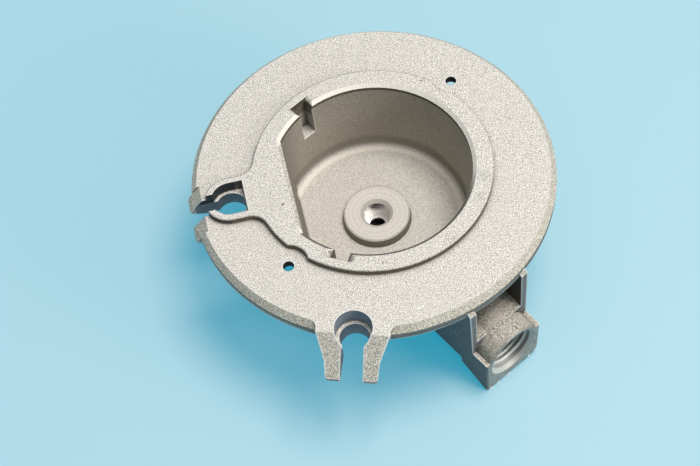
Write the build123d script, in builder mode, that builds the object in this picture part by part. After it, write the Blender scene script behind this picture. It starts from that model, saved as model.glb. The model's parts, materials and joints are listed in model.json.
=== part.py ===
"""Gas injector holder for a cooker burner: one aluminium die casting.

Millimetres, +Z up.  The origin is the centre of the injector bore's mouth, on top of
the boss inside the cup; the spark electrode seat lies towards -X.
"""
import os
from math import cos, radians, sin, sqrt, tan

from build123d import *

# flange
flange_top = 20.5            # top face above the boss
flange_face_r = 46.0         # edge of the flat top face
flange_outer_r = 47.5        # outer radius below the bevel
flange_bevel_h = 1.8
flange_rim_h = 4.2
flange_plate_t = 2.4
flange_lip_w = 2.2           # rim turned down round the plate

# raised land round the cup
land_r = 31.3
land_h = 1.9
land_edge = 0.25
neck_r = 6.5                 # land carried out round the spark electrode seat
neck_blend_r = 4.5
wall_share = 0.95            # most of the wall beside it that a rounding or bevel may take

# fixing screw holes and the hollows that clear the screw heads
screw_circle_r = 35.1
screw_angle = 40.0
screw_hole_r = 1.45
screw_clear_r = 5.15

# cup, round with one flat side
cup_r = 26.0
cup_flat = 21.5              # axis to the flat side, at the rim
cup_floor_r = 25.0
cup_floor_flat = 19.5        # axis to the flat side, at the floor
cup_floor_z = -2.8
cup_wall_t = 2.6
cup_floor_t = 3.4
cup_floor_fillet = 1.8
cup_lip = 0.9

# boss on the cup floor and the injector bore
boss_r = 8.9
boss_base_r = 9.4
boss_edge = 0.4
bore_r = 3.55
bore_mouth_r = 4.45
bore_depth = 6.0
passage_r = 2.2
passage_depth = 8.6

# keyways in the cup wall
keyway_angle = 120.0         # from +X, one on each side
keyway_w = 4.0
keyway_r = 28.9              # back of the keyway
keyway_depth = 11.4          # below the top of the land
keyway_flare = 1.9           # rounding at the top of its sides
keyway_pad_w = 8.4
keyway_pad_r = 31.0

# spark electrode seat
spark_reach = 37.6           # cup axis to the seat's axis
spark_seat_r = 4.8
spark_seat_flat = 4.05       # seat's axis to its flat side
spark_ledge = 1.75           # ledge below the flange's top face
spark_hole_r = 4.0
spark_slot_w = 4.8
spark_sleeve_h = 6.0         # foot of the sleeve below the top face
spark_crease = 44.75         # where the lugs begin to slope
spark_lug_end = 3.65         # lugs' ends beyond the crease
spark_lug_drop = 4.2
spark_lug_root_w = 14.2
spark_lug_end_w = 13.6
spark_lug_corner_r = 0.8
spark_lug_lift = 1.2         # lugs' ends above the sleeve's foot

# flame probe seat
probe_angle = 251.0
probe_reach = 46.2
probe_seat_r = 4.75
probe_ledge = 5.15
probe_hole_r = 3.8
probe_slot_w = 5.6
probe_sleeve_h = 10.15
probe_crease = 1.9           # where the prongs begin to slope, beyond the flat top face
probe_knee = 5.1             # depth where the sides steepen
probe_tip = 10.2             # seat's axis to the prongs' ends
probe_drop = 8.5
probe_tip_t = 0.8            # upright end of each prong
probe_tip_corner_r = 0.7
probe_root_w = 18.4          # across the prongs at the top face
probe_knee_w = 13.8          # across them at the knee's depth
probe_foot_w = 12.6
probe_blend_r = 2.4          # prongs into the flange's edge

# gas inlet
inlet_angle = 297.8
inlet_z = -5.4
inlet_face = 53.4            # cup axis to the machined face
inlet_half_w = 9.34          # at the shoulder
inlet_draft = 1.2            # degrees, sides closing downwards
inlet_web_t = 1.65
inlet_web_foot = 48.1
inlet_web_head = 47.6
inlet_shoulder_z = -2.2
inlet_bottom_z = -16.6
inlet_heel = 43.5            # where the thickened end begins
inlet_heel_z = -12.8
inlet_barrel_r = 8.8
inlet_body_top = 2.4
inlet_body_bottom = -10.8
inlet_thread_r = 6.6
inlet_mouth_r = 7.6
inlet_depth = 12.0
inlet_edge_r = 0.6
inlet_corner_r = 3.0
gallery_z = -6.8
gallery_r = 2.0

plate_under = flange_top - flange_plate_t
rim_under = flange_top - flange_rim_h
land_top = flange_top + land_h
cup_bottom = cup_floor_z - cup_floor_t
spark_foot = flange_top - spark_sleeve_h
spark_end = spark_crease + spark_lug_end
probe_foot = flange_top - probe_sleeve_h
probe_fold = flange_face_r + probe_crease
probe_end = probe_reach + probe_tip
pocket_half_w = inlet_half_w - inlet_web_t
inlet_bore_end = inlet_face - inlet_depth
keyway_side = keyway_w / 2 + keyway_flare
lip_room = wall_share * (screw_circle_r - screw_clear_r - land_edge - cup_r)
neck_room = wall_share * (spark_reach**2 + neck_r**2 - land_r**2) / (2 * (land_r - neck_r))
probe_blend_y = probe_root_w / 2 + probe_blend_r
probe_blend_x = sqrt((flange_face_r + probe_blend_r) ** 2 - probe_blend_y**2)
probe_tab_w = 2 * probe_blend_y * flange_face_r / (flange_face_r + probe_blend_r)
inlet_head_w = inlet_half_w + (flange_top - inlet_shoulder_z) * tan(radians(inlet_draft))
inlet_foot_w = inlet_half_w + (inlet_bottom_z - inlet_shoulder_z) * tan(radians(inlet_draft))


def plan_at(angle, height):
    """Level plane whose X runs outwards at the given angle."""
    out = Vector(cos(radians(angle)), sin(radians(angle)), 0)
    return Plane(origin=(0, 0, height), x_dir=out, z_dir=(0, 0, 1))


def section_at(angle):
    """Upright plane through the cup's axis: X runs outwards, Y runs up."""
    out = Vector(cos(radians(angle)), sin(radians(angle)), 0)
    return Plane(origin=(0, 0, 0), x_dir=out, z_dir=out.cross(Vector(0, 0, 1)))


def face_at(angle, reach, height):
    """Upright plane that faces outwards at the given reach and height."""
    out = Vector(cos(radians(angle)), sin(radians(angle)), 0)
    middle = out * reach + Vector(0, 0, height)
    return Plane(origin=middle, x_dir=Vector(0, 0, 1).cross(out), z_dir=out)


cup_flat_outside = Plane(
    origin=(-cup_floor_flat - cup_wall_t, 0, cup_floor_z),
    x_dir=(0, 1, 0),
    z_dir=(land_top - cup_floor_z, 0, cup_flat - cup_floor_flat),
)
inlet_line = Axis((0, 0, 0), section_at(inlet_angle).x_dir)
inlet_cross = Axis((0, 0, 0), face_at(inlet_angle, 0, 0).x_dir)
probe_line = Axis((0, 0, 0), section_at(probe_angle).x_dir)
probe_cross = Axis((0, 0, 0), face_at(probe_angle, 0, 0).x_dir)


# raised land
with BuildPart() as land:
    with BuildSketch(Plane.XY.offset(flange_top)):
        Circle(land_r)
        with Locations((-spark_reach, 0)):
            Circle(neck_r)
            Rectangle(spark_reach, 2 * neck_r, align=(Align.MIN, Align.CENTER))
        fillet(vertices().group_by(Axis.X)[-1], min(neck_blend_r, neck_room))
        with PolarLocations(screw_circle_r, 2, screw_angle):
            Circle(screw_clear_r, mode=Mode.SUBTRACT)
    extrude(amount=land_h)
    chamfer(edges().group_by(Axis.Z)[-1], land_edge)

# space inside the cup
with BuildPart() as cup_space:
    with BuildSketch(Plane.XZ):
        with BuildLine():
            Polyline(
                (0, cup_floor_z),
                (cup_floor_r, cup_floor_z),
                (cup_r, land_top),
                (0, land_top),
                close=True,
            )
        make_face()
        fillet(vertices().group_by(Axis.Y)[0].sort_by(Axis.X)[-1], cup_floor_fillet)
    revolve(axis=Axis.Z)
    with BuildSketch(Plane.XZ):
        with BuildLine():
            Polyline(
                (-cup_floor_flat, cup_floor_z),
                (cup_r, cup_floor_z),
                (cup_r, land_top),
                (-cup_flat, land_top),
                close=True,
            )
        make_face()
        fillet(vertices().group_by(Axis.Y)[0].sort_by(Axis.X)[0], cup_floor_fillet)
    extrude(amount=cup_r, both=True, mode=Mode.INTERSECT)

# cup wall and floor, before the space is taken out
with BuildPart() as cup_body:
    with Locations((0, 0, cup_bottom)):
        Cone(
            cup_floor_r + cup_wall_t,
            cup_r + cup_wall_t,
            flange_top - cup_bottom,
            align=(Align.CENTER, Align.CENTER, Align.MIN),
        )
    split(bisect_by=cup_flat_outside, keep=Keep.TOP)

# boss that carries the injector
with BuildPart() as boss:
    with Locations((0, 0, cup_bottom)):
        Cylinder(boss_base_r, cup_floor_t, align=(Align.CENTER, Align.CENTER, Align.MIN))
    with Locations((0, 0, cup_floor_z)):
        Cone(boss_base_r, boss_r, -cup_floor_z, align=(Align.CENTER, Align.CENTER, Align.MIN))
    chamfer(edges().group_by(Axis.Z)[-1], boss_edge)

# gas inlet: round barrel
with BuildPart() as inlet_barrel:
    with BuildSketch(face_at(inlet_angle, 0, inlet_z)):
        Circle(inlet_barrel_r)
    extrude(amount=inlet_face)
    chamfer(edges().filter_by(GeomType.CIRCLE).sort_by(inlet_line)[-1], inlet_edge_r)
    with BuildSketch(section_at(inlet_angle)):
        with Locations((0, inlet_body_bottom)):
            Rectangle(inlet_bore_end - cup_wall_t, inlet_barrel_r, align=(Align.MIN, Align.MAX))
    extrude(amount=inlet_barrel_r, both=True, mode=Mode.SUBTRACT)

# gas inlet: the sides' draft
with BuildPart() as inlet_sides:
    with BuildSketch(face_at(inlet_angle, 0, 0)):
        with BuildLine():
            Polyline(
                (inlet_foot_w, inlet_bottom_z),
                (inlet_head_w, flange_top),
                (-inlet_head_w, flange_top),
                (-inlet_foot_w, inlet_bottom_z),
                close=True,
            )
        make_face()
    extrude(amount=inlet_face)

# gas inlet: threaded end, deeper towards its face
with BuildPart() as inlet_end:
    with BuildSketch(section_at(inlet_angle)):
        with BuildLine():
            Polyline(
                (inlet_heel, inlet_heel_z),
                (inlet_face, inlet_bottom_z),
                (inlet_face, inlet_shoulder_z),
                (inlet_heel, inlet_shoulder_z),
                close=True,
            )
        make_face()
    extrude(amount=inlet_head_w, both=True)
    add(inlet_sides.part, mode=Mode.INTERSECT)
    fillet(faces().sort_by(Axis.Z)[0].edges().sort_by(inlet_cross)[-1], inlet_corner_r)
    fillet(faces().sort_by(inlet_line)[-1].edges(), inlet_edge_r)

# gas inlet: two webs and the channel between them
with BuildPart() as inlet:
    with BuildSketch(section_at(inlet_angle)):
        with BuildLine():
            Polyline(
                (0, inlet_body_bottom),
                (inlet_heel, inlet_body_bottom),
                (inlet_heel, inlet_shoulder_z),
                (inlet_web_foot, inlet_shoulder_z),
                (inlet_web_head, rim_under),
                (flange_face_r, rim_under + flange_bevel_h),
                (0, rim_under + flange_bevel_h),
                close=True,
            )
        make_face()
    extrude(amount=inlet_head_w, both=True)
    add(inlet_sides.part, mode=Mode.INTERSECT)
    with BuildSketch(section_at(inlet_angle)):
        with BuildLine():
            Polyline(
                (0, inlet_body_top),
                (inlet_web_foot, inlet_body_top),
                (inlet_web_foot, flange_top),
                (0, flange_top),
                close=True,
            )
        make_face()
    extrude(amount=pocket_half_w, both=True, mode=Mode.SUBTRACT)
    add(inlet_end.part)
    add(inlet_barrel.part)
    with BuildSketch(Plane.XY.offset(inlet_body_bottom)):
        Circle(inlet_half_w)
    extrude(amount=cup_floor_z - inlet_body_bottom)

# lugs that lead the spark electrode into its seat
with BuildPart() as spark_lugs:
    with BuildSketch(plan_at(180, spark_foot)):
        with BuildLine():
            Polyline(
                (spark_reach, spark_lug_root_w / 2),
                (spark_crease, spark_lug_root_w / 2),
                (spark_end, spark_lug_end_w / 2),
                (spark_end, -spark_lug_end_w / 2),
                (spark_crease, -spark_lug_root_w / 2),
                (spark_reach, -spark_lug_root_w / 2),
                close=True,
            )
        make_face()
    extrude(amount=spark_sleeve_h)
    fillet(edges().filter_by(Axis.Z).group_by(Axis.X)[0], spark_lug_corner_r)
    with BuildSketch(plan_at(180, spark_foot)):
        with Locations((spark_reach, 0)):
            Circle(spark_lug_root_w / 2)
    extrude(amount=spark_sleeve_h)
    with BuildSketch(section_at(180)):
        with BuildLine():
            Polyline(
                (0, spark_foot),
                (spark_crease, spark_foot),
                (spark_end, spark_foot + spark_lug_lift),
                (spark_end, flange_top - spark_lug_drop),
                (spark_crease, flange_top),
                (0, flange_top),
                close=True,
            )
        make_face()
    extrude(amount=spark_lug_root_w, both=True, mode=Mode.INTERSECT)

# prongs that lead the flame probe into its seat
with BuildPart() as probe_prongs:
    with BuildSketch(face_at(probe_angle, probe_reach, flange_top)):
        with BuildLine():
            Polyline(
                (probe_root_w / 2, 0),
                (probe_knee_w / 2, -probe_knee),
                (probe_foot_w / 2, -probe_sleeve_h),
                (-probe_foot_w / 2, -probe_sleeve_h),
                (-probe_knee_w / 2, -probe_knee),
                (-probe_root_w / 2, 0),
                close=True,
            )
        make_face()
    extrude(amount=probe_tip)
    with BuildSketch(plan_at(probe_angle, probe_foot)):
        with Locations((probe_reach, 0)):
            Circle(probe_foot_w / 2)
    extrude(amount=probe_sleeve_h)
    with BuildSketch(section_at(probe_angle)):
        with BuildLine():
            Polyline(
                (0, probe_foot),
                (probe_reach + probe_seat_r, probe_foot),
                (probe_end, flange_top - probe_drop - probe_tip_t),
                (probe_end, flange_top - probe_drop),
                (probe_fold, flange_top),
                (0, flange_top),
                close=True,
            )
        make_face()
    extrude(amount=probe_root_w, both=True, mode=Mode.INTERSECT)
    fillet(faces().sort_by(probe_line)[-1].edges().sort_by(probe_cross)[0], probe_tip_corner_r)
    fillet(faces().sort_by(probe_line)[-1].edges().sort_by(probe_cross)[-1], probe_tip_corner_r)

# tab of the flange that the prongs hang from
with BuildPart() as probe_tab:
    with BuildSketch(plan_at(probe_angle, flange_top)):
        Rectangle(probe_blend_x, probe_tab_w, align=(Align.MIN, Align.CENTER))
        with Locations((probe_blend_x, probe_blend_y), (probe_blend_x, -probe_blend_y)):
            Circle(probe_blend_r, mode=Mode.SUBTRACT)
        Rectangle(probe_fold, probe_root_w, align=(Align.MIN, Align.CENTER))
        Rectangle(probe_fold, probe_tab_w, align=(Align.MIN, Align.CENTER), mode=Mode.INTERSECT)
        Circle(flange_face_r - flange_lip_w, mode=Mode.SUBTRACT)
    extrude(amount=-flange_bevel_h)

# the casting
with BuildPart() as injector_holder:
    with BuildSketch(Plane.XZ):
        with BuildLine():
            Polyline(
                (0, flange_top),
                (flange_face_r, flange_top),
                (flange_outer_r, flange_top - flange_bevel_h),
                (flange_outer_r, rim_under),
                (flange_outer_r - flange_lip_w, rim_under),
                (flange_outer_r - flange_lip_w, plate_under),
                (0, plate_under),
                close=True,
            )
        make_face()
    revolve(axis=Axis.Z)
    add(land.part)
    add(spark_lugs.part)
    with BuildSketch(section_at(180)):
        with BuildLine():
            Polyline(
                (spark_crease, flange_top),
                (spark_end, flange_top - spark_lug_drop),
                (spark_end, flange_top),
                close=True,
            )
        make_face()
    extrude(amount=spark_lug_root_w / 2, both=True, mode=Mode.SUBTRACT)
    add(probe_prongs.part)
    add(probe_tab.part)
    add(inlet.part)

    # cup, with a pad behind each keyway
    add(cup_body.part)
    for angle in (keyway_angle, -keyway_angle):
        with BuildSketch(plan_at(angle, land_top - keyway_depth - keyway_flare)):
            Rectangle(keyway_pad_r, keyway_pad_w, align=(Align.MIN, Align.CENTER))
        extrude(amount=keyway_depth - land_h)
    add(cup_space.part, mode=Mode.SUBTRACT)
    chamfer(faces().sort_by(Axis.Z)[-1].inner_wires().edges(), min(cup_lip, lip_room))
    add(boss.part)

    # keyways, rounded at the top of their sides
    for angle in (keyway_angle, -keyway_angle):
        with BuildSketch(plan_at(angle, land_top - keyway_depth)):
            Rectangle(keyway_r, keyway_w, align=(Align.MIN, Align.CENTER))
            Circle(cup_floor_flat, mode=Mode.SUBTRACT)
        extrude(amount=keyway_depth, mode=Mode.SUBTRACT)
        with BuildSketch(face_at(angle, keyway_r, land_top - keyway_flare)):
            Rectangle(2 * keyway_side, keyway_flare, align=(Align.CENTER, Align.MIN))
            with Locations((keyway_side, 0), (-keyway_side, 0)):
                Circle(keyway_flare, mode=Mode.SUBTRACT)
        extrude(amount=cup_floor_flat - keyway_r, mode=Mode.SUBTRACT)

    # injector bore and the gas passage below it
    with BuildSketch(Plane.XZ):
        with BuildLine():
            Polyline(
                (0, 0),
                (bore_mouth_r, 0),
                (bore_r, bore_r - bore_mouth_r),
                (bore_r, -bore_depth),
                (passage_r, -bore_depth),
                (passage_r, -passage_depth),
                (0, -passage_depth),
                close=True,
            )
        make_face()
    revolve(axis=Axis.Z, mode=Mode.SUBTRACT)

    # threaded inlet and the gallery to the passage
    with BuildSketch(face_at(inlet_angle, 0, gallery_z)):
        Circle(gallery_r)
    extrude(amount=inlet_face, mode=Mode.SUBTRACT)
    with BuildSketch(face_at(inlet_angle, inlet_face, inlet_z)):
        Circle(inlet_thread_r)
    extrude(amount=-inlet_depth, mode=Mode.SUBTRACT)
    with BuildSketch(face_at(inlet_angle, inlet_face, inlet_z)):
        Circle(inlet_mouth_r)
    extrude(amount=inlet_thread_r - inlet_mouth_r, taper=45, mode=Mode.SUBTRACT)

    # fixing screw holes
    with BuildSketch(Plane.XY.offset(flange_top)):
        with PolarLocations(screw_circle_r, 2, screw_angle):
            Circle(screw_hole_r)
    extrude(amount=-flange_rim_h, mode=Mode.SUBTRACT)

    # spark electrode seat: flat-sided recess, hole and side slot
    with BuildSketch(plan_at(180, flange_top - spark_ledge)):
        with Locations((spark_reach, 0)):
            Circle(spark_seat_r)
            Rectangle(spark_seat_flat, 2 * spark_seat_r, align=(Align.MAX, Align.CENTER))
        with Locations((spark_reach - spark_seat_flat, 0)):
            Rectangle(spark_seat_r, 2 * spark_seat_r, align=(Align.MAX, Align.CENTER), mode=Mode.SUBTRACT)
    extrude(amount=spark_ledge + land_h, mode=Mode.SUBTRACT)
    with BuildSketch(plan_at(180, spark_foot)):
        with Locations((spark_reach, 0)):
            Circle(spark_hole_r)
            Rectangle(spark_end, spark_slot_w, align=(Align.MIN, Align.CENTER))
    extrude(amount=spark_sleeve_h + land_h, mode=Mode.SUBTRACT)

    # flame probe seat: round recess, hole and side slot
    with BuildSketch(plan_at(probe_angle, flange_top - probe_ledge)):
        with Locations((probe_reach, 0)):
            Circle(probe_seat_r)
    extrude(amount=probe_ledge, mode=Mode.SUBTRACT)
    with BuildSketch(plan_at(probe_angle, probe_foot)):
        with Locations((probe_reach, 0)):
            Circle(probe_hole_r)
            Rectangle(probe_tip, probe_slot_w, align=(Align.MIN, Align.CENTER))
    extrude(amount=probe_sleeve_h, mode=Mode.SUBTRACT)

injector_holder.part.label = "injector_holder"
os.makedirs("parts", exist_ok=True)
export_step(injector_holder.part, "parts/injector_holder.step")
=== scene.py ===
"""Looks of the gas injector holder: cast and machined finish, inlet thread, flash, floor, light and camera.

Metres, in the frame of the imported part: +Z up, origin at the mouth of the injector bore.
"""
import json
import math
import random

import bpy
from mathutils import Matrix, Vector


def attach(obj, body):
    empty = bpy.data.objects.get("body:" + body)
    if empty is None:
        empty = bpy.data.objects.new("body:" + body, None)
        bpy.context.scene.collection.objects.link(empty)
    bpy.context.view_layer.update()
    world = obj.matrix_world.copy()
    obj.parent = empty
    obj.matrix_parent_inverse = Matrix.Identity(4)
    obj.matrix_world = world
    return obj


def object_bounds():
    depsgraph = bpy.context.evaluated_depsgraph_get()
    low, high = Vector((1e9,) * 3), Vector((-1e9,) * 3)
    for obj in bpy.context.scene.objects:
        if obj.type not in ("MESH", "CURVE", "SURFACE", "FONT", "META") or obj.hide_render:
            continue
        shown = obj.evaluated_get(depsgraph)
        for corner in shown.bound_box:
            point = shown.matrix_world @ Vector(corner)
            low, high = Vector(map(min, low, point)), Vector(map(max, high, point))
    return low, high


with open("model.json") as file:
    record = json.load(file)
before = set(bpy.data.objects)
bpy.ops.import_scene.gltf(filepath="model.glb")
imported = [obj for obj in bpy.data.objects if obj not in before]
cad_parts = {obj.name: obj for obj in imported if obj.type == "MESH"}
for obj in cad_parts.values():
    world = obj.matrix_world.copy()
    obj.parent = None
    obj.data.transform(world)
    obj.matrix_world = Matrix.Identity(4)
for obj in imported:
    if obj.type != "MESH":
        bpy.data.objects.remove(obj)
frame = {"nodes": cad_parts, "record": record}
cad_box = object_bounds()

MM = 0.001
UP = Vector((0, 0, 1))
holder = frame["nodes"]["injector_holder"]
mounts = {mount["name"]: mount for mount in frame["record"]["mounts"]}

# places and sizes read from the part's mounts
flange_top = mounts["hob_face"]["pos_m"][2]
land_top = mounts["burner_face"]["pos_m"][2]
inlet_out = Vector(mounts["inlet_face"]["axis"])
inlet_mouth = Vector(mounts["inlet_face"]["pos_m"])
inlet_face = inlet_mouth.dot(inlet_out)
inlet_side = inlet_out.cross(UP)
thread_start = Vector(mounts["inlet_thread"]["pos_m"])
thread_r = mounts["inlet_thread"]["dims"]["r_mm"] * MM
thread_length = mounts["inlet_thread"]["dims"]["length_mm"] * MM
bore_r = mounts["injector_bore"]["dims"]["r_mm"] * MM
bore_mouth = -mounts["injector_bore"]["pos_m"][2]
bore_foot = bore_mouth + mounts["injector_bore"]["dims"]["length_mm"] * MM
screw_r = mounts["fixing_screws"]["dims"]["hole_r_mm"] * MM
screw_reach = mounts["fixing_screws"]["dims"]["pcd_mm"] / 2 * MM
screw_angle = math.radians(40)

# electrode seats: middle at the ledge, reach, and grey level of the painted shade on their walls above and
# below the ledge
spark_shift = Vector((2.9 * MM, 0, 0))
seats = (
    (Vector(mounts["spark_seat"]["pos_m"]) - spark_shift, 6.8 * MM, 0.06, 0.28),
    (Vector(mounts["probe_seat"]["pos_m"]), 5.6 * MM, 0.40, 0.32),
)

# thread in the gas inlet: sizes, profile in shares of pitch and depth, and its growth a turn from its ends
thread_pitch = 1.337 * MM
thread_depth = 0.62 * MM
thread_seat = 0.03 * MM
thread_steps = 72
thread_profile = ((-0.46, 0.0), (-0.07, 1.0), (0.07, 1.0), (0.46, 0.0))
thread_growth = 3
thread_least = 0.04

# small marks in the skin, and painted glints, as x, y, height and radius in millimetres
pits = (
    (-24.6, -5.3, 22.4, 0.34),
    (-24.9, -5.7, 22.4, 0.22),
    (-27.2, -1.4, 22.4, 0.20),
    (38.5, 6.5, 20.5, 0.24),
    (15.5, -34.5, 20.5, 0.20),
    (18.9, 23.3, 22.4, 0.28),
    (19.7, 23.9, 22.4, 0.24),
    (-4.0, -28.9, 22.4, 0.26),
    (-3.0, -28.8, 22.4, 0.22),
)
scuffs = (
    (13.9, -26.3, 22.4, 2.4),
    (27.1, -11.0, 22.4, 2.6),
    (24.5, -16.2, 22.4, 2.2),
    (-17.2, -22.2, 22.4, 1.5),
)
smudges = (
    (-15.7, -22.4, 22.1, 1.1),
    (-11.3, -25.6, 21.9, 1.4),
)
# painted glints at the flange's front, where its top meets the bevel
glints = (
    (1.4, -42.6, 20.5, 0.34),
    (2.1, -42.5, 20.5, 0.34),
    (2.8, -42.3, 20.5, 0.34),
)

# casting flash on the lower edge of the inlet's face, in millimetres:
# place beside the inlet's axis, height, length and rise
inlet_flash = (
    (7.6, -16.12, 1.4, 0.36),
    (5.2, -16.14, 1.0, 0.30),
    (1.6, -16.14, 1.3, 0.34),
    (-5.9, -15.40, 1.2, 0.36),
)
inlet_flash_back = 0.05 * MM

# casting flash on the outer edge of the left prong, in millimetres: middle, half its run, lean and rise
prong_flash = (
    Vector((-23.70, -46.92, 16.33)),
    Vector((-0.17, -0.49, -0.52)),
    Vector((-0.9455, 0.3256, 0.0)),
    0.30,
)

# form of a sliver of flash: steps along it, then half width and sink as shares of its height
flash_steps = 9
flash_width = 0.5
flash_sink = 0.4

# margin at the face that a finish ends on
touch = 0.03 * MM

# machined zones: chamfer and depth of the inlet, grooves as distances from the thread's wall,
# and radius of the passage below the injector bore and how far below the bore's foot its painted shade
# starts
inlet_chamfer = 1.05 * MM
inlet_depth = 12.5 * MM
groove_top = 0.40 * MM
groove_foot = 0.05 * MM
passage_r = 2.6 * MM
passage_shade_start = 0.7 * MM

# places beside the inlet's axis between which the painted shade on its thread and wall and the painted light
# and shade on its mouth change
groove_shade_side = (3 * MM, -4 * MM)
bore_wall_shade_side = (-1 * MM, -6 * MM)
mouth_shade_side = (4 * MM, -4 * MM)

# outside of the inlet: channel over the barrel, with painted shade deeper under the flange, and the hollow
# between the webs, painted dark as shade
channel_start = 36 * MM
channel_top = 6 * MM
channel_shade_full = 37 * MM
channel_shade_none = 45 * MM
web_start = 27 * MM
web_gap = 7.8 * MM
web_foot = 2.2 * MM
web_roof = flange_top - 4.3 * MM

# cup: radii from its axis, heights from the boss's top, and how far out the plane of an inner face may lie
cup_r = 26.2 * MM
cup_floor = -3.2 * MM
boss_r = 10 * MM
inner_plane = 3 * MM
# painted highlight ring on the cup's floor and painted shade ring at the foot of its wall
ring_highlight_start = (21.8 * MM, 22.9 * MM)
ring_highlight_end = (24.0 * MM, 23.4 * MM)
ring_highlight_top = -1.5 * MM
wall_foot_shade_r = (24.0 * MM, 24.6 * MM)
wall_foot_shade_top = 1.5 * MM
lip_inner_r = 25.6 * MM
lip_outer_r = 27.0 * MM
lip_depth = 0.88 * MM

# flange: bevel of its rim, depth of the painted shade on its far edges, shade on its side and below it, and
# its screw holes
bevel_inner_r = 44 * MM
bevel_outer_r = 47.6 * MM
far_edge_shade_depth = 1 * MM
rim_shade = (flange_top - 3.5 * MM, flange_top - 2 * MM)
below_rim = (flange_top - 2.5 * MM, flange_top - 3.5 * MM)
round_side_end = 18 * MM
screw_chamfer = 0.25 * MM

# grain of the mould and changes of tone, in cells of noise to the metre
fine_grain = 3800.0
medium_grain = 1250.0
coarse_grain = 420.0
rugged_grain = 2700.0
torn_grain = 4000.0
tone_change = 55.0
table_change = 2.5

# edges, inner corners with painted shade, and turning marks
edge_reach = 0.5 * MM
corner_reach = 3.0 * MM
soft_edge_r = 0.15 * MM
boss_ring_pitch = 1.35 * MM
turning_pitch = 0.45 * MM
cast_relief_depth = 0.12 * MM
torn_relief_depth = 0.08 * MM

# table
floor_gap = 0.1 * MM
floor_half = 1.5
table_colours = ((0.37, 0.385, 0.36, 1.0), (0.385, 0.40, 0.375, 1.0))
table_glow = (0.0, 0.66, 1.0, 1.0)

# light: colours of the sky, and lamps as name, place, aim, size, power and colour
sky_sides = (0.05, 0.13, 0.18, 1.0)
sky_top = (0.58, 0.572, 0.56, 1.0)
sky_towards = Vector((0.18, -0.05, 1.0))
backdrop = (0.42, 0.71, 0.82, 1.0)
lamps = (
    ("soft_box", (0.38, 0.0, 1.4), (0, 0, 0), 0.72, 16.0, (1.0, 0.96, 0.92)),
    ("side_box", (0.50, -0.42, 0.30), (0.02, -0.04, 0), 0.25, 1.6, (1.0, 0.97, 0.93)),
)

# camera, from the photograph's view
camera_place = (-0.032148, -0.215983, 0.342458)
camera_right = Vector((0.9729708, -0.22045347, -0.0687611))
camera_up = Vector((0.22330486, 0.82229996, 0.5234097))
camera_lens = 77.142857
camera_sensor = 36.0


def grey(level, warmth=0.0):
    """A grey, a little warmer where warmth is above nought."""
    return (level * (1 + warmth), level * (1 + 0.25 * warmth), level * (1 - warmth), 1.0)


class Nodes:
    """Short ways to add and join the nodes of a material or a world."""

    def __init__(self, owner):
        owner.use_nodes = True
        self.owner = owner
        self.tree = owner.node_tree
        self.tree.nodes.clear()

    def add(self, kind, inputs=None, **settings):
        node = self.tree.nodes.new("ShaderNode" + kind)
        for key, value in settings.items():
            setattr(node, key, value)
        for key, value in (inputs or {}).items():
            self.put(node.inputs[key], value)
        return node

    def put(self, socket, value):
        if isinstance(value, bpy.types.NodeSocket):
            self.tree.links.new(value, socket)
        else:
            socket.default_value = value

    def math(self, operation, a, b=0.0):
        return self.add("Math", {0: a, 1: b}, operation=operation).outputs[0]

    def chain(self, operation, values):
        """Values joined by one operation, from the first to the last."""
        result = values[0]
        for value in values[1:]:
            result = self.math(operation, result, value)
        return result

    def times(self, *values):
        return self.chain("MULTIPLY", values)

    def plus(self, *values):
        return self.chain("ADD", values)

    def most(self, *values):
        return self.chain("MAXIMUM", values)

    def minus(self, a, b):
        return self.math("SUBTRACT", a, b)

    def above(self, value, limit):
        return self.math("GREATER_THAN", value, limit)

    def below(self, value, limit):
        return self.math("LESS_THAN", value, limit)

    def between(self, value, low, high):
        return self.times(self.above(value, low), self.below(value, high))

    def smooth(self, value, low, high, start=0.0, end=1.0):
        """Value taken from low..high to start..end with soft ends."""
        inputs = {"Value": value, "From Min": low, "From Max": high, "To Min": start, "To Max": end}
        return self.add("MapRange", inputs, interpolation_type="SMOOTHSTEP").outputs["Result"]

    def waves(self, value, pitch):
        """Sine of a distance, one wave to the pitch."""
        return self.math("SINE", self.times(value, 2 * math.pi / pitch))

    def dot(self, a, b):
        return self.add("VectorMath", {0: a, 1: b}, operation="DOT_PRODUCT").outputs["Value"]

    def mix(self, share, a, b):
        return self.add("Mix", {0: share, 6: a, 7: b}, data_type="RGBA").outputs[2]

    def two_greys(self, share, dark, light):
        """Two greys, each given as level and warmth, mixed by a share."""
        return self.mix(share, grey(*dark), grey(*light))

    def coated(self, colour, coats):
        """A colour under coats, each a share and its own colour, laid on in order."""
        for share, coat in coats:
            colour = self.mix(share, colour, coat)
        return colour


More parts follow.
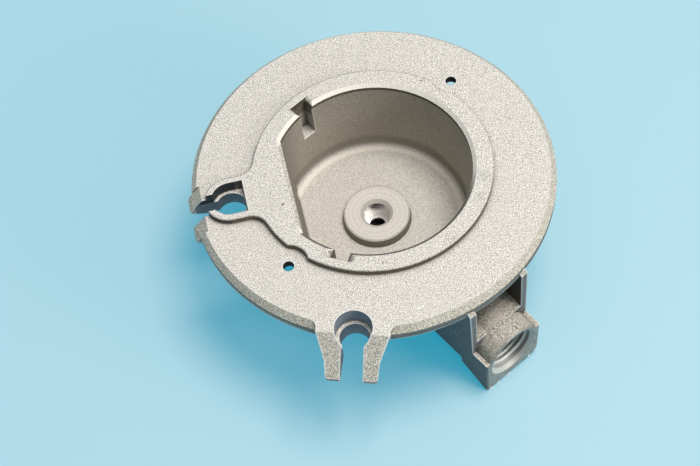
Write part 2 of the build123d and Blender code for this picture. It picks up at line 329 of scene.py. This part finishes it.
class Material(Nodes):
    """A material whose nodes can ask for the place on the part."""

    def __init__(self, name):
        super().__init__(bpy.data.materials.new(name))
        self.place = self.add("TexCoord").outputs["Object"]

    def noise(self, scale, detail, roughness):
        inputs = {"Vector": self.place, "Scale": scale, "Detail": detail, "Roughness": roughness}
        return self.add("TexNoise", inputs).outputs["Fac"]

    def from_axis(self, point, direction):
        """Distance from an axis."""
        offset = self.add("VectorMath", {0: self.place, 1: point}, operation="SUBTRACT").outputs[0]
        cross = self.add("VectorMath", {0: offset, 1: direction}, operation="CROSS_PRODUCT").outputs[0]
        return self.add("VectorMath", {0: cross}, operation="LENGTH").outputs["Value"]

    def near(self, spots, core):
        """One at the heart of any of the spots, nought beyond their radius."""
        share = 0.0
        for x, y, z, radius in spots:
            ends = {0: self.place, 1: (x * MM, y * MM, z * MM)}
            distance = self.add("VectorMath", ends, operation="DISTANCE").outputs["Value"]
            spot = self.smooth(distance, core * radius * MM, radius * MM, 1.0, 0.0)
            share = self.most(share, spot)
        return share

    def openness(self, reach, inside=False):
        """One on a plain face, less near a corner, or near an edge where inside is set."""
        node = self.add("AmbientOcclusion", {"Distance": reach}, samples=6, inside=inside, only_local=True)
        return node.outputs["AO"]

    def bevelled(self, radius):
        """Normal of the part with its edges rounded."""
        return self.add("Bevel", {"Radius": radius}, samples=4).outputs["Normal"]

    def surface(self, inputs):
        """The finished material, with the inputs given to its shader."""
        shader = self.add("BsdfPrincipled", inputs)
        self.add("OutputMaterial", {"Surface": shader.outputs[0]})
        return self.owner


class Casting(Material):
    """The casting's measures, grain and zones, which its colour, gloss and relief share."""

    def __init__(self, name):
        super().__init__(name)
        self.measure()
        self.find_grain()
        self.find_machined()
        self.find_seats()
        self.find_edges()
        self.find_corners()
        self.find_cup()
        self.find_inlet()
        self.find_rims()
        self.find_screw_holes()
        self.find_marks()

    def measure(self):
        """Distances from the axes, and which way a face looks."""
        self.height = self.dot(self.place, UP)
        self.radius = self.from_axis((0, 0, 0), UP)
        self.inlet_reach = self.dot(self.place, inlet_out)
        self.inlet_radius = self.from_axis(inlet_mouth, inlet_out)
        self.aside = self.dot(self.place, inlet_side)
        self.normal = self.add("NewGeometry").outputs["Normal"]
        self.slope = self.dot(self.normal, UP)
        self.upright = self.smooth(self.slope, 0.53, 0.75, 1.0, 0.0)
        # points above the flange's top, whose upright faces get painted shade
        self.shade_over_flange = self.above(self.height, flange_top + touch)

    def find_grain(self):
        """Grain of the mould in three sizes, a rougher grain, and a slow change of tone."""
        self.fine = self.noise(fine_grain, 1.0, 0.5)
        self.medium = self.noise(medium_grain, 3.0, 0.6)
        self.coarse = self.noise(coarse_grain, 2.0, 0.5)
        self.tone = self.noise(tone_change, 3.0, 0.6)
        speckle = self.plus(self.times(self.fine, 0.8), self.times(self.medium, 0.2))
        self.grain = self.smooth(speckle, 0.36, 0.64)
        self.rugged = self.smooth(self.noise(rugged_grain, 2.0, 0.6), 0.38, 0.62)

    def find_machined(self):
        """Inlet face, inlet bore and its mouth, injector bore, its mouth and the painted shade in the
        passage at its foot.
        """
        self.on_face = self.above(self.inlet_reach, inlet_face - touch)
        self.in_inlet = self.times(
            self.below(self.inlet_radius, thread_r + inlet_chamfer),
            self.above(self.inlet_reach, inlet_face - inlet_depth),
        )
        self.in_mouth = self.times(self.in_inlet, self.above(self.inlet_radius, thread_r + 2 * touch))
        self.in_bore = self.times(
            self.below(self.radius, bore_r + bore_mouth + touch),
            self.below(self.height, -touch),
        )
        self.on_bore_mouth = self.times(self.in_bore, self.above(self.height, touch - bore_mouth))
        self.passage_shade = self.times(
            self.in_bore,
            self.below(self.radius, passage_r),
            self.below(self.height, -passage_shade_start - bore_foot),
        )
        self.machined = self.most(self.on_face, self.in_inlet, self.in_bore)

    def find_seats(self):
        """Electrode seats, and the painted shade on their walls."""
        self.in_seat = 0.0
        self.seat_shade = grey(0.1)
        for ledge, reach, above, below in seats:
            within = self.below(self.from_axis(ledge, UP), reach)
            under_ledge = self.below(self.height, ledge.z - touch)
            level = self.two_greys(under_ledge, (above, -0.12), (below, -0.12))
            self.seat_shade = self.mix(within, self.seat_shade, level)
            self.in_seat = self.most(self.in_seat, within)

    def find_edges(self):
        """Outer edges, worn bright with painted highlight where they face the front, but not on walls with
        painted shade.
        """
        self.edge = self.smooth(self.openness(edge_reach, inside=True), 0.92, 0.55)
        self.away = self.smooth(self.dot(self.bevelled(edge_reach), (0, 1, 0)), 0.15, 0.45)
        walls_with_shade = self.times(self.most(self.shade_over_flange, self.in_seat), self.upright)
        self.rub_and_highlight = self.times(
            self.edge,
            self.minus(0.7, self.times(self.away, 0.7)),
            self.minus(1.0, walls_with_shade),
        )

    def find_corners(self):
        """Inner corners and the foot of what stands on the flange, where shade is painted."""
        open_share = self.openness(corner_reach)
        self.corner = self.smooth(open_share, 0.85, 0.40)
        self.foot = self.times(
            self.smooth(open_share, 0.72, 0.55, 0.0, 0.75),
            self.above(self.height, flange_top - touch),
        )

    def find_cup(self):
        """Inside of the cup, top of the boss, and the painted highlight ring and painted shade ring at the
        foot of the wall.
        """
        looks_inward = self.below(self.dot(self.normal, self.place), inner_plane)
        self.by_boss = self.below(self.radius, boss_r)
        self.in_cup = self.times(
            self.below(self.radius, cup_r),
            self.between(self.height, cup_floor, flange_top),
            self.most(looks_inward, self.by_boss),
        )
        self.on_boss = self.between(self.height, -touch, touch)
        self.ring_highlight = self.times(
            self.smooth(self.radius, *ring_highlight_start),
            self.smooth(self.radius, *ring_highlight_end),
            self.below(self.height, ring_highlight_top),
        )
        self.wall_foot_shade = self.times(
            self.smooth(self.radius, *wall_foot_shade_r, 0.0, 0.45),
            self.smooth(self.height, wall_foot_shade_top, 0.0),
        )

    def find_inlet(self):
        """Channel over the inlet's barrel, and the hollow between its webs, where shade is painted."""
        self.in_channel = self.times(
            self.above(self.inlet_reach, channel_start),
            self.below(self.height, channel_top),
        )
        self.shade_between_webs = self.times(
            self.between(self.aside, -web_gap, web_gap),
            self.between(self.height, web_foot, web_roof),
            self.above(self.inlet_reach, web_start),
        )

    def find_rims(self):
        """Lip of the cup and bevel of the flange's rim."""
        self.on_lip = self.times(
            self.between(self.radius, lip_inner_r, lip_outer_r),
            self.between(self.height, land_top - lip_depth, land_top - touch),
            self.smooth(self.slope, 0.5, 0.65, 0.0, 0.7),
        )
        self.on_bevel = self.times(
            self.between(self.radius, bevel_inner_r, bevel_outer_r),
            self.below(self.height, flange_top - touch),
            self.smooth(self.slope, 0.25, 0.35, 0.0, 0.42),
        )

    def find_screw_holes(self):
        """Walls of the two fixing screw holes, painted nearly black as shade."""
        self.screw_hole_shade = 0.0
        for side in (screw_reach, -screw_reach):
            hole = (side * math.cos(screw_angle), side * math.sin(screw_angle), 0)
            in_hole = self.times(
                self.below(self.from_axis(hole, UP), screw_r + touch),
                self.below(self.height, flange_top - screw_chamfer),
            )
            self.screw_hole_shade = self.most(self.screw_hole_shade, in_hole)

    def find_marks(self):
        """Pits and scuffs."""
        scuff = self.times(self.near(scuffs, 0.0), self.smooth(self.medium, 0.50, 0.60))
        self.mark = self.most(self.near(pits, 0.6), self.times(scuff, 0.55))


def blasted_skin(m):
    """Colour of the faces that look up, bright from blasting."""
    channel_shade = m.smooth(m.inlet_reach, channel_shade_none, channel_shade_full, 0.0, 0.8)
    sloped = m.times(m.smooth(m.slope, 0.95, 0.80, 0.0, 0.45), m.minus(1.0, m.in_cup))
    coats = (
        (m.in_channel, m.two_greys(m.rugged, (0.11, 0.14), (0.68, 0.10))),
        # painted shade on the channel deeper under the flange
        (m.times(m.in_channel, channel_shade), grey(0.10, 0.16)),
        (m.times(m.in_cup, 0.55), grey(0.60, 0.075)),
        (m.smooth(m.tone, 0.3, 0.7, 0.0, 0.28), grey(0.62, 0.055)),
        (sloped, m.two_greys(m.grain, (0.18, 0.2), (0.74, 0.14))),
    )
    return m.coated(m.two_greys(m.grain, (0.33, 0.055), (0.94, 0.045)), coats)


def dull_skin_and_shade(m):
    """Colour of the upright faces: the dull skin of the mould, made darker than the faces that look up
    partly as painted shade.
    """
    round_side = m.times(
        m.smooth(m.inlet_reach, web_start, round_side_end),
        m.smooth(m.height, *below_rim),
    )
    flat_wall_shade = m.smooth(m.dot(m.normal, (1, 0, 0)), 0.6, 0.9)
    seat_grain = m.smooth(m.grain, 0.0, 1.0, 0.35, 0.0)
    coats = (
        (round_side, m.two_greys(m.grain, (0.30, 0.06), (0.62, 0.05))),
        (m.smooth(m.slope, 0.2, 0.5), m.two_greys(m.grain, (0.16, 0.2), (0.40, 0.16))),
        (m.smooth(m.height, *rim_shade), m.two_greys(m.grain, (0.13, 0.2), (0.30, 0.16))),
        (m.in_cup, m.two_greys(m.grain, (0.31, 0.13), (0.49, 0.13))),
        # painted shade on the cup's flat wall
        (m.times(m.in_cup, flat_wall_shade), grey(0.22, 0.14)),
        # painted shade on the boss's side
        (m.times(m.in_cup, m.by_boss), grey(0.24, 0.13)),
        # painted shade on the upright faces above the flange, such as the land's step
        (m.shade_over_flange, m.two_greys(m.grain, (0.08, 0.2), (0.18, 0.18))),
        # painted shade, near black, on the walls of the electrode seats
        (m.in_seat, m.mix(seat_grain, m.seat_shade, grey(0.03))),
        # painted shade in the hollow between the webs
        (m.shade_between_webs, grey(0.06, 0.2)),
        # painted shade in inner corners
        (m.times(m.corner, 0.8), grey(0.07, 0.2)),
    )
    return m.coated(m.two_greys(m.grain, (0.11, -0.02), (0.27, -0.02)), coats)


def skin_with_wear_and_painted_light(m, skin):
    """Colour of the cast skin with its rims, painted shade at feet, corners and far edges, painted
    highlights, worn edges, holes and marks.
    """
    boss_rings = m.smooth(m.waves(m.radius, boss_ring_pitch), -1.0, 1.0)
    boss_share = m.smooth(m.medium, 0.3, 0.7, 0.3, 0.8)
    unworn_edge_shade = m.times(m.minus(m.edge, m.rub_and_highlight), 0.6)
    far_edge_shade = m.times(
        m.away,
        m.smooth(m.slope, 0.6, 0.7, 0.0, 0.85),
        m.most(m.above(m.height, flange_top - far_edge_shade_depth), m.on_boss),
    )
    coats = (
        (m.on_bevel, m.two_greys(m.grain, (0.40, 0.16), (0.98, 0.11))),
        (m.times(m.on_boss, boss_share), m.two_greys(boss_rings, (0.72, 0.06), (0.80, 0.06))),
        # painted shade at the foot of what stands on the flange
        (m.foot, grey(0.16, 0.16)),
        # painted highlight ring on the cup's floor, then painted shade at the foot of its wall
        (m.times(m.in_cup, m.ring_highlight, 0.5), grey(0.95, 0.08)),
        (m.times(m.in_cup, m.wall_foot_shade), grey(0.20, 0.14)),
        # painted shade on edges that face away and on walls with painted shade, and on far edges
        (unworn_edge_shade, grey(0.2, 0.1)),
        (far_edge_shade, grey(0.20, 0.12)),
        # edges worn bright, with painted highlight where they face the front
        (m.rub_and_highlight, grey(0.92, 0.04)),
        # painted highlight on the cup's lip where it faces the front, painted shade where it faces away
        (m.times(m.on_lip, m.minus(1.0, m.away)), grey(0.98, 0.06)),
        (m.times(m.on_lip, m.away), grey(0.12, 0.1)),
        # painted shade, near black, on the screw holes' walls
        (m.screw_hole_shade, grey(0.03)),
        # painted glints on the flange's front edge
        (m.near(glints, 0.3), grey(1.0, 0.02)),
        (m.times(m.near(smudges, 0.4), 0.65), grey(0.22, 0.08)),
        (m.times(m.mark, 0.85), grey(0.10, 0.08)),
    )
    return m.coated(skin, coats)


def turned_metal(m):
    """Colour of the machined faces: painted shade on one side of the thread and bore, dull on the inlet's
    face, the mouth painted lighter on one side and darker on the other as light and shade, and painted shade
    in the depth.
    """
    groove = m.smooth(m.inlet_radius, thread_r - groove_top, thread_r - groove_foot)
    thread_shade = m.most(
        m.times(groove, m.smooth(m.aside, *groove_shade_side, 0.25, 0.85)),
        m.smooth(m.aside, *bore_wall_shade_side, 0.0, 0.6),
    )
    coats = (
        # painted shade on one side of the inlet's thread and wall
        (m.times(m.in_inlet, thread_shade), grey(0.10, 0.08)),
        (m.on_face, m.two_greys(m.smooth(m.medium, 0.35, 0.65), (0.22, 0.06), (0.38, 0.06))),
        # mouth of the inlet painted lighter on one side and darker on the other, as light and shade
        (m.in_mouth, m.two_greys(m.smooth(m.aside, *mouth_shade_side), (0.66, 0.08), (0.34, 0.06))),
        (m.on_bore_mouth, grey(0.66, 0.06)),
        # painted shade, near black, in the passage below the injector bore
        (m.passage_shade, grey(0.02)),
    )
    return m.coated(m.two_greys(m.smooth(m.coarse, 0.3, 0.7), (0.76, 0.03), (0.88, 0.03)), coats)


def cast_roughness(m):
    cast = m.smooth(m.medium, 0.3, 0.7, 0.70, 0.86)
    matt = m.most(m.on_face, m.in_inlet, m.on_bore_mouth)
    turned = m.plus(m.smooth(m.coarse, 0.3, 0.7, 0.24, 0.34), m.times(matt, 0.22))
    return m.add("Mix", {0: m.machined, 2: cast, 3: turned}, data_type="FLOAT").outputs[0]


def cast_relief(m):
    """Normal with grain and marks on the cast skin, and turning marks on the inlet's face and the boss."""
    sand = m.plus(m.times(m.fine, 0.7), m.times(m.medium, 0.5), m.times(m.coarse, 0.4))
    cast = m.times(m.minus(sand, m.times(m.mark, 1.5)), m.minus(1.0, m.machined))
    turned_r = m.plus(m.times(m.inlet_radius, m.on_face), m.times(m.radius, m.on_boss))
    relief = m.plus(cast, m.times(m.waves(turned_r, turning_pitch), 0.25))
    inputs = {
        "Strength": 0.8,
        "Distance": cast_relief_depth,
        "Height": relief,
        "Normal": m.bevelled(soft_edge_r),
    }
    return m.add("Bump", inputs).outputs["Normal"]


def cast_aluminium(name):
    """Cast, blasted aluminium with fine sand grain, machined bright in the bores and on the inlet's face."""
    m = Casting(name)
    # upright faces take the darker colour, which is partly painted shade
    skin = skin_with_wear_and_painted_light(m, m.mix(m.upright, blasted_skin(m), dull_skin_and_shade(m)))
    bright_bore = m.times(m.minus(m.in_bore, m.on_bore_mouth), 0.40)
    return m.surface({
        "Base Color": m.mix(m.machined, skin, turned_metal(m)),
        "Metallic": m.plus(bright_bore, 0.45),
        "Roughness": cast_roughness(m),
        "Normal": cast_relief(m),
    })


def flash_metal(name):
    """Bare, torn aluminium of the casting flash."""
    m = Material(name)
    torn = m.smooth(m.noise(torn_grain, 2.0, 0.6), 0.35, 0.65)
    bump = m.add("Bump", {"Strength": 0.6, "Distance": torn_relief_depth, "Height": torn})
    return m.surface({
        "Base Color": m.two_greys(torn, (0.62, 0.04), (0.98, 0.03)),
        "Metallic": 0.4,
        "Roughness": 0.45,
        "Normal": bump.outputs["Normal"],
    })


def floor_material(name):
    """Pale table that glows faintly blue, so that its shadows stay blue."""
    m = Material(name)
    share = m.smooth(m.noise(table_change, 2.0, 0.5), 0.3, 0.7)
    return m.surface({
        "Base Color": m.mix(share, *table_colours),
        "Roughness": 0.75,
        "Specular IOR Level": 0.2,
        "Emission Color": table_glow,
        "Emission Strength": 0.40,
    })


def mesh_piece(name, vertices, faces, material):
    mesh = bpy.data.meshes.new(name)
    mesh.from_pydata(vertices, [], faces)
    mesh.validate()
    mesh.materials.append(material)
    piece = bpy.data.objects.new(name, mesh)
    bpy.context.scene.collection.objects.link(piece)
    return piece


def bar_faces(corners, steps):
    """Faces of a closed bar: its sides, from one section of corners to the next, and its two ends."""
    faces = []
    for step in range(steps):
        for corner in range(corners):
            here = step * corners + corner
            beside = step * corners + (corner + 1) % corners
            faces.append((here, beside, beside + corners, here + corners))
    faces.append(tuple(reversed(range(corners))))
    faces.append(tuple(range(steps * corners, (steps + 1) * corners)))
    return faces


def inlet_thread(material):
    """Helical ridge on the inlet's wall, fading out at both ends."""
    turns = thread_length / thread_pitch - 1
    count = int(turns * thread_steps)
    vertices = []
    for step in range(count + 1):
        turn = step / thread_steps
        angle = 2 * math.pi * turn
        fade = min(1.0, thread_growth * min(turn, turns - turn) + thread_least)
        radial = inlet_side * math.cos(angle) + Vector((0, 0, math.sin(angle)))
        for along, rise in thread_profile:
            reach = -(turn + 0.5 + along) * thread_pitch
            radius = thread_r + thread_seat - rise * fade * (thread_depth + thread_seat)
            vertices.append(thread_start + inlet_out * reach + radial * radius)
    faces = bar_faces(len(thread_profile), count)
    piece = mesh_piece("inlet_thread", vertices, faces, material)
    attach(piece, "root")


def flash(name, start, end, lean, height, material):
    """Ragged sliver of casting flash along an edge, standing up to the given height towards lean."""
    dice = random.Random(name)
    along = end - start
    across = along.cross(lean).normalized()
    sink = lean * (-flash_sink * height)
    vertices = []
    for step in range(flash_steps + 1):
        share = step / flash_steps
        foot = start + along * share
        rise = height * math.sin(math.pi * (0.04 + 0.92 * share)) * dice.uniform(0.45, 1.0)
        width = flash_width * height * dice.uniform(0.7, 1.0)
        vertices.append(foot + across * width + sink)
        vertices.append(foot + lean * rise + across * dice.uniform(-0.3, 0.3) * width)
        vertices.append(foot - across * width + sink)
    piece = mesh_piece(name, vertices, bar_faces(3, flash_steps), material)
    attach(piece, "root")


def casting_flash(material):
    """Slivers along the lower edge of the inlet's face, and one on the left prong."""
    for number, (beside, height, length, rise) in enumerate(inlet_flash):
        middle = inlet_out * (inlet_face - inlet_flash_back) + inlet_side * beside * MM
        middle += Vector((0, 0, height * MM))
        half = inlet_side * length / 2 * MM
        flash("inlet_flash_%d" % number, middle - half, middle + half, inlet_out, rise * MM, material)
    middle, half, lean, rise = prong_flash
    flash("prong_flash", (middle - half) * MM, (middle + half) * MM, lean, rise * MM, material)


def floor():
    level = cad_box[0].z - floor_gap
    signs = ((-1, -1), (1, -1), (1, 1), (-1, 1))
    corners = [(x * floor_half, y * floor_half, level) for x, y in signs]
    piece = mesh_piece("floor", corners, [(0, 1, 2, 3)], floor_material("pale_table"))


def sky():
    """World light that changes from its sides towards the soft box, and a plain backdrop for the camera."""
    world = bpy.data.worlds.new("studio")
    bpy.context.scene.world = world
    nodes = Nodes(world)
    direction = nodes.add("TexCoord").outputs["Generated"]
    share = nodes.smooth(nodes.dot(direction, sky_towards.normalized()), 0.25, 0.9)
    light = nodes.mix(share, sky_sides, sky_top)
    seen = nodes.add("LightPath").outputs["Is Camera Ray"]
    background = nodes.add("Background", {"Color": nodes.mix(seen, light, backdrop)})
    nodes.add("OutputWorld", {"Surface": background.outputs[0]})


def area_light(name, place, aim, size, power, colour):
    data = bpy.data.lights.new(name, "AREA")
    data.shape = "DISK"
    data.size = size
    data.energy = power
    data.color = colour
    light = bpy.data.objects.new(name, data)
    bpy.context.scene.collection.objects.link(light)
    light.location = place
    light.rotation_euler = (Vector(aim) - Vector(place)).to_track_quat("-Z", "Y").to_euler()


def camera():
    data = bpy.data.cameras.new("camera")
    data.lens = camera_lens
    data.sensor_width = camera_sensor
    data.sensor_fit = "HORIZONTAL"
    piece = bpy.data.objects.new("camera", data)
    bpy.context.scene.collection.objects.link(piece)
    turn = Matrix((camera_right, camera_up, camera_right.cross(camera_up))).transposed()
    piece.matrix_world = Matrix.Translation(camera_place) @ turn.to_4x4()
    bpy.context.scene.camera = piece


casting = cast_aluminium("cast_aluminium_skin")
holder.data.materials.clear()
holder.data.materials.append(casting)
inlet_thread(casting)
casting_flash(flash_metal("cast_aluminium_flash"))
floor()
sky()
for lamp in lamps:
    area_light(*lamp)
camera()
bpy.context.scene.view_settings.view_transform = "Standard"
